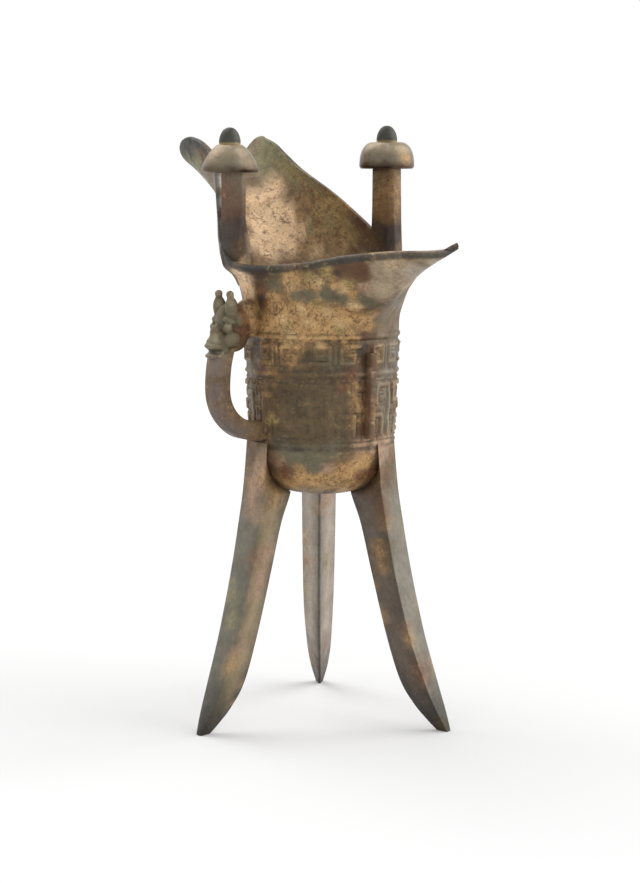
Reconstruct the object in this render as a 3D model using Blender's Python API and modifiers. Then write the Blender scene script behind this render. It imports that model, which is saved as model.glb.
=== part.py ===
"""Bronze jue: a three-legged wine cup of the Shang kind, cast in one piece.

The vessel stands on the XY plane with +Z up. +X points along the tail, -X along the spout and -Y
to the handle. Everything is modelled about the cup's own upright axis. CUP_AXIS then places that
axis so that the middle of the vessel's footprint is at the world origin.
"""
import math

import bmesh
import bpy
from mathutils import Vector

MM = 0.001
SIDE_COLUMNS = 26         # columns of the wall's grid on each side of the cup
FLARE_RINGS = 9           # rings between the cup's throat and the lip

# Where the cup's axis stands, seen from the middle of the footprint
CUP_AXIS = (-1.87 * MM, 3.77 * MM)

# Cup wall: radius and height up the outside, from near the bottom's middle to the throat
WALL = 2.1 * MM
BOTTOM_HEIGHT = 77.2
CUP_OUTLINE = (
    (9.0, 77.9), (16.5, 80.3), (21.0, 84.4), (23.0, 89.6), (24.0, 95.6), (24.8, 110.0), (25.7, 130.0),
)

# Flare, spout and tail: level outlines of the outside from the throat up. Each has its height, its
# reach to the tail, to the side and to the spout, how pointed the tail is and how square the spout
LEVELS = (
    (130.0, 25.7, 25.7, 25.7, 0.50, 2.0), (138.0, 30.0, 26.6, 26.8, 0.66, 2.0),
    (146.0, 45.2, 28.2, 28.9, 0.93, 2.0), (150.0, 52.3, 29.5, 30.8, 1.0, 2.1),
    (154.0, 60.0, 32.8, 35.0, 1.05, 3.0), (162.0, 80.0, 33.9, 41.4, 1.05, 3.4),
    (170.0, 100.0, 33.6, 48.6, 1.05, 3.6), (178.0, 120.0, 33.4, 58.6, 1.05, 3.8),
    (186.0, 140.0, 33.0, 75.6, 1.05, 3.7), (194.0, 160.0, 33.0, 98.0, 1.05, 3.6),
    (202.0, 180.0, 33.0, 121.0, 1.05, 3.6),
)
# Lip seen from the side: distance along the tail and height, round the tail
TAIL_LIP = (
    (76.6, 160.6), (72.0, 159.3), (66.0, 158.5), (54.0, 158.1), (40.0, 156.8), (22.0, 153.9), (6.0, 153.0),
    (-4.0, 154.9),
)
# Then each side of the spout, which differ: its lip, the middle and the radii of its rounded corner,
# and where the spout starts and ends narrowing and the share of the width that is left
SPOUT_SIDES = {
    1: (
        ((-12.0, 161.5), (-20.0, 168.7), (-32.0, 178.2), (-45.0, 186.6), (-52.0, 191.3), (-58.0, 194.9),
         (-65.2, 197.2)),
        (-65.2, 190.0), (7.4, 7.4), (-3.0, -58.0, 0.57),
    ),
    -1: (
        ((-12.0, 162.6), (-20.0, 173.0), (-28.0, 181.5), (-38.0, 188.4), (-46.0, 192.4), (-53.0, 195.2),
         (-60.0, 196.6)),
        (-60.0, 189.0), (12.6, 7.6), (-3.0, -50.0, 0.57),
    ),
}
LIP_STEPS = 12            # steps along the lip between two of its rows
LOBE_STEPS = 24
LIP_DROP = 0.05           # step down the mouth of the spout to its floor

# Legs: direction, shift outwards at the foot and higher up, share of the width, shift sideways
LEGS = (
    (-90.0, 0.5, 0.4, 1.0, 0.0), (31.7, -0.8, -1.4, 1.0, 0.0), (148.7, 1.2, -0.8, 0.9, 0.6),
)
# One leg up its length: height, radius of the flat outer face, depth in to the ridge, width
LEG_STATIONS = (
    (0.0, 47.8, 4.4, 3.2), (3.0, 46.7, 6.7, 5.0), (8.0, 44.7, 9.5, 7.6), (16.0, 41.7, 11.6, 10.0),
    (32.0, 36.6, 11.6, 12.2), (52.0, 31.7, 11.9, 13.2), (68.0, 28.6, 12.8, 13.6), (80.0, 26.6, 15.0, 13.8),
    (96.0, 25.0, 15.6, 13.8),
)
LEG_RINGS = 14
LEG_SHIFT_HEIGHT = 30.0   # above this a leg has all of its higher shift

# Posts on the lip at the root of the spout, and their domed caps
POST_TURN = 14.0
# Up each shaft: height, where its outer face starts and ends along the lip, then how far inwards of
# the cap's middle its outer face, its inner face and its ridge are, and the corner taken off
NEAR_SHAFT = (
    (147.0, -1.6, 2.6, 4.8, 5.6, 5.9, 0.3), (150.5, -2.0, 3.6, 2.7, 4.6, 7.6, 1.2),
    (153.6, -2.4, 4.4, -1.2, 3.6, 9.0, 2.6), (158.0, -2.6, 5.2, -1.9, 3.5, 8.0, 3.0),
    (164.0, -2.8, 5.7, -1.7, 3.4, 6.2, 3.4), (170.0, -3.4, 6.0, -1.0, 3.3, 4.6, 3.6),
    (187.0, -3.4, 6.6, -0.9, 3.2, 3.2, 4.0),
)
FAR_SHAFT = (
    (147.0, -2.8, 2.8, 3.2, 3.9, 4.0, 0.3), (153.8, -5.9, 5.9, -1.6, 4.0, 4.0, 3.0),
    (158.0, -5.4, 5.4, -2.3, 3.1, 3.1, 2.4), (168.0, -4.7, 4.7, -2.6, 2.6, 2.6, 1.8),
    (187.0, -4.5, 4.5, -2.5, 2.5, 2.5, 1.4),
)
POST_CHAMFER = 0.7        # share of the corner that comes off the narrow side
# Side, place, height of the knob's top, roundness of the dome, and the shaft
POSTS = (
    (-1, (-8.0, -30.5), 198.7, 1.35, NEAR_SHAFT),
    (1, (-7.8, 31.2), 200.3, 2.5, FAR_SHAFT),
)
CAP_RADIUS = 9.4
CAP_HEIGHT = 9.2
CAP_EDGE = 0.8
CAP_SEGMENTS = 18
DOME_RINGS = 5
KNOB_RADIUS = 3.6
KNOB_HEIGHT = 5.4
KNOB_RINGS = 3

# Handle: distance from the axis and height along the strap's middle, from the head to the cup
STRAP_PATH = (
    (-38.2, 128.0), (-39.7, 121.0), (-40.0, 112.2), (-37.8, 106.0), (-33.3, 101.6), (-28.0, 100.0),
    (-23.8, 99.7),
)
STRAP_WIDTH = 6.6
STRAP_THICKNESS = 6.4
STRAP_CORNER = 0.9
STRAP_RINGS = 13
LUMP_SIDES = (9, 6)       # columns and rings of the head's rounded masses

# Frieze: heights of its borders, and how far the raised work stands proud
REGISTER = (97.0, 117.6)
SCROLL_BAND = (120.4, 130.4)
HOOKS_A_QUARTER = 4
HOOK_SIZE = (6.2, 5.4)
HOOK_WIDTH = 1.0
HANDLE_CLEAR = 6.0        # run round the cup from the handle that has no hook
RELIEF = 0.7
RELIEF_ROOT = 0.8
BORDER_PROUD = 0.5
BORDER_HALF = 0.9
BORDER_ROOT = 1.0
STROKE_RUN = 5.0          # longest straight run of a raised stroke round the cup
EYE_WIDTH = 3.4
EYE_PROUD = 1.0
FLANGE_ANGLES = (4.5, 90.0, 180.0)
FLANGE_WIDTH = 2.3
FLANGE_PROUD = 3.0
FLANGE_HEIGHTS = (98.0, 126.0)
FLANGE_CORNER = 0.5


def clear_scene():
    for item in list(bpy.data.objects):
        bpy.data.objects.remove(item, do_unlink=True)


def new_collection(name):
    group = bpy.data.collections.new(name)
    bpy.context.scene.collection.children.link(group)
    return group


def mesh_object(name, shape, group, closed=True):
    """Turn a bmesh into an object of the given collection; a closed one gets its faces out."""
    if closed:
        bmesh.ops.recalc_face_normals(shape, faces=shape.faces)
    mesh = bpy.data.meshes.new(name)
    shape.to_mesh(mesh)
    shape.free()
    item = bpy.data.objects.new(name, mesh)
    group.objects.link(item)
    return item


def between(points, where):
    """A smooth curve through rows of numbers, read at a place that counts in rows."""
    last = len(points) - 1
    row = min(int(where), last - 1)
    t = where - row
    rows = [points[min(max(row + step, 0), last)] for step in (-1, 0, 1, 2)]
    return tuple(
        0.5 * (2 * b + (c - a) * t + (2 * a - 5 * b + 4 * c - d) * t * t + (3 * b - a - 3 * c + d) * t ** 3)
        for a, b, c, d in zip(*rows)
    )


def sampled(points, count):
    """The smooth curve's rows, evenly spaced in steps from the first point to the last."""
    last = len(points) - 1
    return [between(points, last * step / (count - 1)) for step in range(count)]


def loft(name, rings, group):
    """A closed solid skinned over rings of equal length, flat at both ends."""
    shape = bmesh.new()
    rows = [[shape.verts.new(point) for point in ring] for ring in rings]
    for low, high in zip(rows, rows[1:]):
        for i in range(len(low)):
            j = (i + 1) % len(low)
            shape.faces.new((low[i], low[j], high[j], high[i]))
    shape.faces.new(rows[0][::-1])
    shape.faces.new(rows[-1])
    return mesh_object(name, shape, group)


def turned(name, outline, segments, place, group, hoop=False):
    """A solid of revolution about an upright axis, from (radius, height) rows up its outside.

    A hoop's rows go right round its section; any other solid is flat at its two ends.
    """
    shape = bmesh.new()
    rings = []
    for radius, height in outline:
        if radius == 0:
            rings.append([shape.verts.new((place[0], place[1], height * MM))])
            continue
        ring = []
        for step in range(segments):
            turn = math.tau * step / segments
            out = Vector((math.cos(turn), math.sin(turn), 0)) * radius * MM
            ring.append(shape.verts.new(Vector((place[0], place[1], height * MM)) + out))
        rings.append(ring)
    for low, high in zip(rings, rings[1:] + rings[:1] if hoop else rings[1:]):
        for i in range(segments):
            j = (i + 1) % segments
            corners = [low[i % len(low)], low[j % len(low)], high[j % len(high)], high[i % len(high)]]
            shape.faces.new(list(dict.fromkeys(corners)))
    for ring in (rings[0], rings[-1]):
        if len(ring) > 1 and not hoop:
            shape.faces.new(ring)
    return mesh_object(name, shape, group)


def cup_radius(height):
    """Radius of the cup's outside at a height in millimetres, between the bottom and the throat."""
    for (r0, h0), (r1, h1) in zip(CUP_OUTLINE, CUP_OUTLINE[1:]):
        if height <= h1:
            return r0 + (r1 - r0) * (height - h0) / (h1 - h0)
    return CUP_OUTLINE[-1][0]


def level(height):
    """The level outline's reaches and shape at a height, on a smooth curve through the rows."""
    last = len(LEVELS) - 1
    low = max(i for i in range(last) if i == 0 or LEVELS[i][0] <= height)
    step = LEVELS[low + 1][0] - LEVELS[low][0]
    t = (height - LEVELS[low][0]) / step
    slopes = []
    for row in (low, low + 1):
        before, after = LEVELS[max(row - 1, 0)], LEVELS[min(row + 1, last)]
        slopes.append([(b - a) / (after[0] - before[0]) * step for a, b in zip(before, after)])
    return tuple(
        a + (b - a) * t * t * (3 - 2 * t) + m * t * (1 - t) ** 2 - n * t * t * (1 - t)
        for a, b, m, n in zip(LEVELS[low], LEVELS[low + 1], *slopes)
    )[1:]


def sheet_point(side, share, height):
    """A point on the wall's outside: share is 1 at the tail, 0 at the side and -1 at the spout."""
    tail, wide, spout, pointed, square = level(height)
    if share >= 0:
        lean = 2.5 - pointed
        return Vector((tail * share, side * wide * (1 - share ** lean) ** pointed, height))
    x = spout * share
    start, end, left = SPOUT_SIDES[side][3]
    reach = min(max((x - start) / (end - start), 0), 1)
    narrow = 1 - (1 - left) * reach * reach * (3 - 2 * reach)
    return Vector((x, side * wide * narrow * math.sqrt(1 - (-share) ** square), height))


def lip_line(side):
    """Closely spaced (share, height) rows along the lip, from the tail's tip to the spout's floor."""
    spout_lip, (middle, height), (long, tall), _ = SPOUT_SIDES[side]
    lip = TAIL_LIP + spout_lip
    profile = []
    for (x0, h0), (x1, h1) in zip(lip, lip[1:]):
        for step in range(LIP_STEPS):
            t = step / LIP_STEPS
            profile.append((x0 + (x1 - x0) * t, h0 + (h1 - h0) * t))
    for step in range(LOBE_STEPS + 1):
        turn = math.pi / 2 * step / LOBE_STEPS
        profile.append((middle - long * math.sin(turn), height + tall * math.cos(turn)))
    front = middle - long
    while level(height)[2] > -front:
        profile.append((front, height))
        height -= LIP_DROP
    rows = []
    for x, height in profile:
        reach = level(height)[0] if x >= 0 else level(height)[2]
        rows.append((max(min(x / reach, 1), -1), height))
    return [(1.0, rows[0][1])] + rows[1:] + [(-1.0, height)]


def wall_columns(side):
    """Half of the wall's outside as columns of points, evenly spaced along the lip and the throat."""
    lip = lip_line(side)
    run = [0.0]
    for here, after in zip(lip, lip[1:]):
        run.append(run[-1] + (sheet_point(side, *after) - sheet_point(side, *here)).length)
    throat = CUP_OUTLINE[-1][1]
    columns = []
    for column in range(SIDE_COLUMNS + 1):
        part = column / SIDE_COLUMNS
        nearest = min(range(len(lip)), key=lambda i: abs(run[i] - run[-1] * part))
        share, top = lip[nearest]
        start = math.cos(math.pi * part)
        out = (start, side * math.sin(math.pi * part))
        points = [Vector((out[0] * r, out[1] * r, h)) for r, h in CUP_OUTLINE]
        for ring in range(1, FLARE_RINGS + 1):
            t = ring / FLARE_RINGS
            points.append(sheet_point(side, start + (share - start) * t, throat + (top - throat) * t))
        if column in (0, SIDE_COLUMNS):
            points = [Vector((p.x, 0, p.z)) for p in points]
        columns.append([p * MM for p in points])
    return columns


def vessel_wall(group):
    """The cup, spout and tail as one open sheet that goes right round, given the wall's thickness."""
    shape = bmesh.new()
    middle = shape.verts.new((0, 0, BOTTOM_HEIGHT * MM))
    round_cup = wall_columns(1) + wall_columns(-1)[-2:0:-1]
    columns = [[shape.verts.new(p) for p in points] for points in round_cup]
    for left, right in zip(columns, columns[1:] + columns[:1]):
        shape.faces.new((middle, right[0], left[0]))
        for i in range(len(left) - 1):
            shape.faces.new((left[i], right[i], right[i + 1], left[i + 1]))
    wall = mesh_object("jue_vessel", shape, group, closed=False)
    thickness = wall.modifiers.new("wall", "SOLIDIFY")
    thickness.thickness = WALL
    thickness.offset = -1
    thickness.use_even_offset = True
    return wall


def leg(number, angle, shifts, share, sideways, group, hollow):
    """One blade leg: a flat outer face and two inner faces that meet in a ridge."""
    out = Vector((math.cos(math.radians(angle)), math.sin(math.radians(angle)), 0))
    side = Vector((-out.y, out.x, 0))
    edge, ridge = 0.5, 0.4
    rings = []
    for height, radius, depth, width in sampled(LEG_STATIONS, LEG_RINGS):
        rise = min(height / LEG_SHIFT_HEIGHT, 1)
        shift = shifts[0] + (shifts[1] - shifts[0]) * rise
        middle = out * (radius + shift) + side * sideways * rise + Vector((0, 0, height))
        half = width * share / 2
        rings.append([
            (middle - side * half - out * edge) * MM,
            (middle - side * (half - edge)) * MM,
            (middle + side * (half - edge)) * MM,
            (middle + side * half - out * edge) * MM,
            (middle - out * depth + side * ridge) * MM,
            (middle - out * depth - side * ridge) * MM,
        ])
    blade = loft(f"leg {number}", rings, group)
    trim = blade.modifiers.new("kept out of the cup", "BOOLEAN")
    trim.operation = "DIFFERENCE"
    trim.object = hollow
    return blade


def post(side, place, top, roundness, shaft, group):
    """A post with a faceted shaft, rooted in the wall, and its turned cap with a knob."""
    turn = math.radians(POST_TURN)
    along = Vector((math.cos(turn), math.sin(turn), 0))
    inward = Vector((math.sin(turn), -math.cos(turn), 0)) * side
    rings = []
    for height, start, end, outer, inner, ridge, corner in shaft:
        bevelled = max(inner - corner * POST_CHAMFER, (outer + inner) / 2)
        section = ((end, outer), (end, bevelled), (end - corner, ridge), (start, inner), (start, outer))
        middle = Vector((place[0], place[1], height))
        rings.append([(middle + along * a + inward * b) * MM for a, b in section])
    loft(f"post {side}", rings, group)
    foot = top - KNOB_HEIGHT - CAP_HEIGHT
    outline = [(CAP_RADIUS - CAP_EDGE, foot)]
    for ring in range(DOME_RINGS):
        rise = ring / DOME_RINGS
        radius = KNOB_RADIUS + (CAP_RADIUS - KNOB_RADIUS) * (1 - rise ** roundness) ** (1 / roundness)
        outline.append((radius, foot + CAP_EDGE + (CAP_HEIGHT - CAP_EDGE) * rise))
    for ring in range(KNOB_RINGS):
        lift = math.pi / 2 * ring / KNOB_RINGS
        outline.append((KNOB_RADIUS * math.cos(lift), top - KNOB_HEIGHT * (1 - math.sin(lift))))
    outline.append((0, top))
    turned(f"cap {side}", outline, CAP_SEGMENTS, (place[0] * MM, place[1] * MM), group)


def strap(group):
    """The handle's strap, square in section with its corners taken off."""
    rows = sampled(STRAP_PATH, STRAP_RINGS)
    rings = []
    for i, (y, z) in enumerate(rows):
        before = rows[max(i - 1, 0)]
        after = rows[min(i + 1, len(rows) - 1)]
        way = Vector((0, after[0] - before[0], after[1] - before[1])).normalized()
        across = Vector((0, way.z, -way.y))
        half = STRAP_WIDTH / 2
        deep = STRAP_THICKNESS / 2
        flat, wall = half - STRAP_CORNER, deep - STRAP_CORNER
        section = (
            (half, wall), (flat, deep), (-flat, deep), (-half, wall),
            (-half, -wall), (-flat, -deep), (flat, -deep), (half, -wall),
        )
        rings.append([(Vector((a, y, z)) + across * b) * MM for a, b in section])
    loft("strap", rings, group)


def lump(name, place, size, group, lean=0.0):
    """A rounded mass: a sphere stretched to three half-sizes and leant about X."""
    shape = bmesh.new()
    bmesh.ops.create_uvsphere(shape, u_segments=LUMP_SIDES[0], v_segments=LUMP_SIDES[1], radius=MM)
    c, s = math.cos(math.radians(lean)), math.sin(math.radians(lean))
    for vert in shape.verts:
        x, y, z = vert.co.x * size[0], vert.co.y * size[1], vert.co.z * size[2]
        vert.co = Vector((x, y * c - z * s, y * s + z * c)) + Vector(place) * MM
    return mesh_object(name, shape, group)


def animal_head(group):
    """The ox-like head on the handle: skull, neck, a mouth that bites the strap, eyes and horns."""
    lump("skull", (0, -34.2, 135.6), (5.0, 5.8, 6.8), group, 32)
    lump("neck", (0, -28.8, 136.8), (4.2, 5.2, 6.6), group)
    lump("muzzle", (0, -39.0, 128.8), (4.6, 4.4, 5.2), group)
    lump("throat", (0, -34.4, 130.6), (3.8, 5.2, 4.6), group)
    lump("upper lip", (0, -41.6, 128.2), (4.4, 2.5, 1.3), group)
    lump("lower lip", (0, -41.4, 125.2), (4.2, 2.5, 1.3), group)
    for side in (-1, 1):
        lump(f"eye {side}", (4.2 * side, -38.5, 134.2), (1.8, 2.1, 2.0), group)
        lump(f"horn {side}", (3.9 * side, -36.9, 140.2), (2.1, 2.3, 4.2), group, 4)
        lump(f"horn knob {side}", (3.7 * side, -37.3, 144.9), (1.4, 1.4, 1.4), group)


def on_cup(arc, height, proud):
    """A point over the cup: arc in degrees from the tail, height, and distance off the wall."""
    radius = cup_radius(height) + proud
    turn = math.radians(arc)
    return Vector((radius * math.cos(turn), radius * math.sin(turn), height)) * MM


def raised_line(name, path, width, group, proud=RELIEF):
    """A raised stroke along (millimetres round the cup, height) points, its corners mitred."""
    reach = math.degrees(1 / CUP_OUTLINE[-2][0])
    finer = [path[0]]
    for (s0, h0), (s1, h1) in zip(path, path[1:]):
        pieces = max(math.ceil(abs(s1 - s0) / STROKE_RUN), 1)
        finer += [(s0 + (s1 - s0) * k / pieces, h0 + (h1 - h0) * k / pieces) for k in range(1, pieces + 1)]
    path = finer
    rings = []
    for i, here in enumerate(path):
        before = path[max(i - 1, 0)]
        after = path[min(i + 1, len(path) - 1)]
        here = Vector(here)
        into = (here - Vector(before)).normalized() if i else (Vector(after) - here).normalized()
        out_of = (Vector(after) - here).normalized() if i < len(path) - 1 else into
        bend = (into + out_of).normalized()
        across = Vector((-bend.y, bend.x)) * (width / 2 / max(bend.dot(into), 0.5))
        left, right = here + across, here - across
        rings.append([
            on_cup(left.x * reach, left.y, -RELIEF_ROOT), on_cup(left.x * reach, left.y, proud),
            on_cup(right.x * reach, right.y, proud), on_cup(right.x * reach, right.y, -RELIEF_ROOT),
        ])
    return loft(name, rings, group)


def squared_spiral(place, size, turn):
    """Points of a squared hook of the thunder pattern, from its tail in to its middle."""
    steps = ((-1, -1), (1, -1), (1, 1), (-0.45, 1), (-0.45, 0), (0.3, 0))    # shares of the half-size
    points = []
    for x, y in steps:
        if turn:
            x, y = -x, -y
        points.append((place[0] + x * size[0] / 2, place[1] + y * size[1] / 2))
    return points


def border_ring(name, height, group):
    """A raised line round the cup, with a sloping upper and lower side."""
    radius = cup_radius(height)
    outline = (
        (radius - BORDER_ROOT, height - BORDER_HALF), (radius + BORDER_PROUD, height),
        (radius - BORDER_ROOT, height + BORDER_HALF),
    )
    return turned(name, outline, 2 * SIDE_COLUMNS, (0, 0), group, hoop=True)


def half_mask(quarter, centre, flip, group):
    """Half of an animal mask beside its centre line: eye, horn, snout, jaw and quills."""
    low, high = REGISTER
    middle = (low + high) / 2

    def at(across, up):
        return (centre + across * flip, middle + up)

    strokes = (
        ("snout", (at(3.2, -7.4), at(3.2, 4.8), at(6.6, 4.8)), 1.6),
        ("horn", (at(8.0, 7.8), at(23.6, 7.8), at(23.6, 2.4), at(17.6, 2.4)), 1.8),
        ("jaw", (at(8.0, -3.6), at(8.0, -8.0), at(21.6, -8.0), at(21.6, -3.4), at(16.8, -3.4)), 1.7),
        ("body", (at(26.8, -8.2), at(26.8, 8.0), at(33.4, 8.0), at(33.4, 2.0)), 1.6),
        ("tail", (at(30.4, -8.2), at(30.4, -2.0), at(35.8, -2.0), at(35.8, -8.2)), 1.5),
    )
    for name, path, width in strokes:
        raised_line(f"{name} {quarter}", path, width, group)
    raised_line(f"eye {quarter}", (at(10.6, 0.4), at(14.6, 0.4)), EYE_WIDTH, group, EYE_PROUD)


def frieze(group):
    """Two masks between flanges on the cup, and a band of squared hooks above them."""
    quarter_run = math.pi / 2 * CUP_OUTLINE[-2][0]
    for quarter in range(4):
        start = quarter * quarter_run
        mask_on_left = quarter % 2 == 0
        centre = start + quarter_run if mask_on_left else start
        half_mask(quarter, centre, -1 if mask_on_left else 1, group)
        for hook in range(HOOKS_A_QUARTER):
            along = start + quarter_run * (hook + 0.5) / HOOKS_A_QUARTER
            if quarter in (2, 3) and abs(along - 3 * quarter_run) < HANDLE_CLEAR:
                continue
            place = (along, sum(SCROLL_BAND) / 2)
            path = squared_spiral(place, HOOK_SIZE, hook % 2)
            raised_line(f"hook {quarter} {hook}", path, HOOK_WIDTH, group)
    for height in (REGISTER[0] - 1.2, (REGISTER[1] + SCROLL_BAND[0]) / 2, SCROLL_BAND[1]):
        border_ring(f"border {height:.0f}", height, group)


def flange(name, angle, group):
    """An upright rib on the frieze."""
    half = FLANGE_WIDTH / 2
    out = Vector((math.cos(math.radians(angle)), math.sin(math.radians(angle)), 0))
    side = Vector((-out.y, out.x, 0))
    rings = []
    for height in FLANGE_HEIGHTS:
        inner = out * (cup_radius(height) - RELIEF_ROOT)
        outer = out * (cup_radius(height) + FLANGE_PROUD)
        up = Vector((0, 0, height))
        rings.append([
            (inner - side * half + up) * MM, (outer - side * (half - FLANGE_CORNER) + up) * MM,
            (outer + side * (half - FLANGE_CORNER) + up) * MM, (inner + side * half + up) * MM,
        ])
    return loft(name, rings, group)


def cup_hollow(group):
    """The space inside the middle of the wall's thickness, which the legs' roots keep out of."""
    rows = [(0, BOTTOM_HEIGHT)] + list(CUP_OUTLINE)
    inset = WALL / MM / 2
    outline = [(0, BOTTOM_HEIGHT + inset)]
    for before, here, after in zip(rows, rows[1:], rows[2:]):
        way = Vector((after[0] - before[0], after[1] - before[1])).normalized()
        outline.append((here[0] - way.y * inset, here[1] + way.x * inset))
    return turned("cup hollow", outline, 2 * SIDE_COLUMNS, (0, 0), group)


def bronze():
    """Patinated bronze: brown-olive, dull, with only part of its metal showing."""
    material = bpy.data.materials.new("patinated bronze")
    material.use_nodes = True
    shader = material.node_tree.nodes["Principled BSDF"]
    shader.inputs["Base Color"].default_value = (0.19, 0.13, 0.07, 1)
    shader.inputs["Roughness"].default_value = 0.55
    shader.inputs["Metallic"].default_value = 0.5
    return material


def build():
    clear_scene()
    parts = new_collection("jue")
    joined = new_collection("cast-on forms")
    cutters = new_collection("cutters")
    hollow = cup_hollow(cutters)
    for number, (angle, foot_shift, shift, share, sideways) in enumerate(LEGS):
        leg(number, angle, (foot_shift, shift), share, sideways, joined, hollow)
    for row in POSTS:
        post(*row, joined)
    strap(joined)
    animal_head(joined)
    for number, angle in enumerate(FLANGE_ANGLES):
        flange(f"flange {number}", angle, joined)
    frieze(joined)
    vessel = vessel_wall(parts)
    vessel.data.materials.append(bronze())
    join = vessel.modifiers.new("one casting", "BOOLEAN")
    join.operation = "UNION"
    join.operand_type = "COLLECTION"
    join.collection = joined
    axis = bpy.data.objects.new("cup axis", None)
    axis.location = (CUP_AXIS[0], CUP_AXIS[1], 0)
    parts.objects.link(axis)
    for item in [vessel] + list(joined.objects) + list(cutters.objects):
        item.parent = axis
    for item in list(joined.objects) + list(cutters.objects):
        item.hide_render = True
        item.display_type = "WIRE"


build()
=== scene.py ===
import math

import bpy
import numpy as np
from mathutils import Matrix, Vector, kdtree, noise


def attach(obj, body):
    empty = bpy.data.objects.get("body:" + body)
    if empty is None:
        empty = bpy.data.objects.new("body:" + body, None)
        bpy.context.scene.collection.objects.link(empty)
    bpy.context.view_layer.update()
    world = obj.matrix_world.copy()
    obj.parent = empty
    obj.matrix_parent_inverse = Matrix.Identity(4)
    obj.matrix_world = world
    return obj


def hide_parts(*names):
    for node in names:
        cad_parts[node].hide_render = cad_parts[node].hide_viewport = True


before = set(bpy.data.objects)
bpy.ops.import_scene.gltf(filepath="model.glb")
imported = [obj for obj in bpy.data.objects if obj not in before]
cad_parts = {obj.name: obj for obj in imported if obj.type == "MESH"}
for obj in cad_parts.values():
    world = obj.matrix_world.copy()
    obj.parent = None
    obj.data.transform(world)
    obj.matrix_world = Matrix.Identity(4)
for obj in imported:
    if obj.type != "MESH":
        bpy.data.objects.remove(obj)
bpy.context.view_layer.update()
mm = 0.001
cupAxis = np.array([-1.87, 3.77, 0.0])  # where the cup's own axis stands, in millimetres


# small tools

def deselectAll():
    bpy.ops.object.select_all(action="DESELECT")


def choose(pieces):
    # selects them, with the first one active
    deselectAll()
    for piece in pieces:
        piece.select_set(True)
    bpy.context.view_layer.objects.active = pieces[0]


def joined(pieces, name):
    choose(pieces)
    bpy.ops.object.join()
    pieces[0].name = pieces[0].data.name = name
    return pieces[0]


def applyModifiers(piece):
    choose([piece])
    for modifier in list(piece.modifiers):
        bpy.ops.object.modifier_apply(modifier=modifier.name)


def between(rows, where):
    # smooth curve through rows of numbers, read at a place counted in rows
    last = len(rows) - 1
    low = min(int(where), last - 1)
    t = where - low
    a, b, c, d = (np.array(rows[min(max(low + step, 0), last)], float) for step in (-1, 0, 1, 2))
    square, cube = 2 * a - 5 * b + 4 * c - d, 3 * b - a - 3 * c + d
    return 0.5 * (2 * b + (c - a) * t + square * t * t + cube * t ** 3)


def sampled(rows, count):
    return [between(rows, (len(rows) - 1) * step / (count - 1)) for step in range(count)]


def smooth(low, high, value):
    t = np.clip((value - low) / (high - low), 0, 1)
    return t * t * (3 - 2 * t)


def directions(degrees):
    # two level directions at right angles, the first at an angle from X
    turn = math.radians(degrees)
    return np.array([math.cos(turn), math.sin(turn), 0]), np.array([-math.sin(turn), math.cos(turn), 0])


def wrapGrid(name, rings):
    # a grid wrapped round the rings of points and closed at its seam and ends
    rings = np.asarray(rings, float)
    rows, columns = rings.shape[:2]
    deselectAll()
    bpy.ops.mesh.primitive_grid_add(x_subdivisions=columns, y_subdivisions=rows - 1, size=1)
    piece = bpy.context.object
    piece.name = piece.data.name = name
    closed = np.concatenate([rings, rings[:, :1]], axis=1)
    piece.data.vertices.foreach_set("co", ((closed + cupAxis) * mm).ravel())
    bpy.ops.object.mode_set(mode="EDIT")
    bpy.ops.mesh.select_all(action="SELECT")
    bpy.ops.mesh.remove_doubles(threshold=0.000002)
    bpy.ops.mesh.normals_make_consistent(inside=False)
    bpy.ops.object.mode_set(mode="OBJECT")
    bpy.ops.object.shade_smooth()
    return piece


# camera, floor and light

view = {
    "turn": 57.71,  # degrees from the handle's side towards the tail
    "distance": 668.34,  # millimetres, level, from the cup's axis
    "height": 177.66,
    "tip": 7.1,  # degrees down
    "aside": -0.66,
    "sensor": 36,  # millimetres high
    "focal": 2000,  # pixels, for a picture this high
    "pixelsHigh": 883,
}


def placeCamera():
    right, ahead = directions(view["turn"])
    place = cupAxis - ahead * view["distance"] + right * view["aside"] + np.array([0, 0, view["height"]])
    turns = (math.radians(90 - view["tip"]), 0, math.radians(view["turn"]))
    bpy.ops.object.camera_add(location=place * mm, rotation=turns)
    camera = bpy.context.object
    camera.name = "photoCamera"
    camera.data.sensor_fit = "VERTICAL"
    camera.data.sensor_height = view["sensor"]
    camera.data.lens = view["focal"] / view["pixelsHigh"] * view["sensor"]
    camera.data.clip_start = 0.01
    camera.data.dof.use_dof = False
    bpy.context.scene.camera = camera


placeCamera()

studio = {
    "floor": "#D6D6D6",
    "floorSize": 6.0,  # metres
    "sky": "#FFFFFF",
    "display": "Standard",  # white paper shows white
    "skyStrength": 1.0,
    # name, the way the light comes from, its width in degrees and its strength
    "lamps": (
        ("windowRight", (0.72, 1.10, 0.75), 70, 1.9),
        ("skylightBehind", (-0.88, -0.22, 1.10), 50, 0.95),
    ),
}


def linear(colour):
    # sRGB hex to the linear numbers that Blender's sockets take
    parts = [int(colour[i:i + 2], 16) / 255 for i in (1, 3, 5)]
    return tuple(c / 12.92 if c <= 0.04045 else ((c + 0.055) / 1.055) ** 2.4 for c in parts) + (1.0,)


def addNode(tree, kind, settings=None, sockets=None, links=None):
    # a node with its settings, the values on its own sockets, and what feeds it
    node = tree.nodes.new(kind)
    for name, value in (settings or {}).items():
        setattr(node, name, value)
    for name, value in (sockets or {}).items():
        node.inputs[name].default_value = value
    for name, source in (links or {}).items():
        tree.links.new(source, node.inputs[name])
    return node


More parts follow.
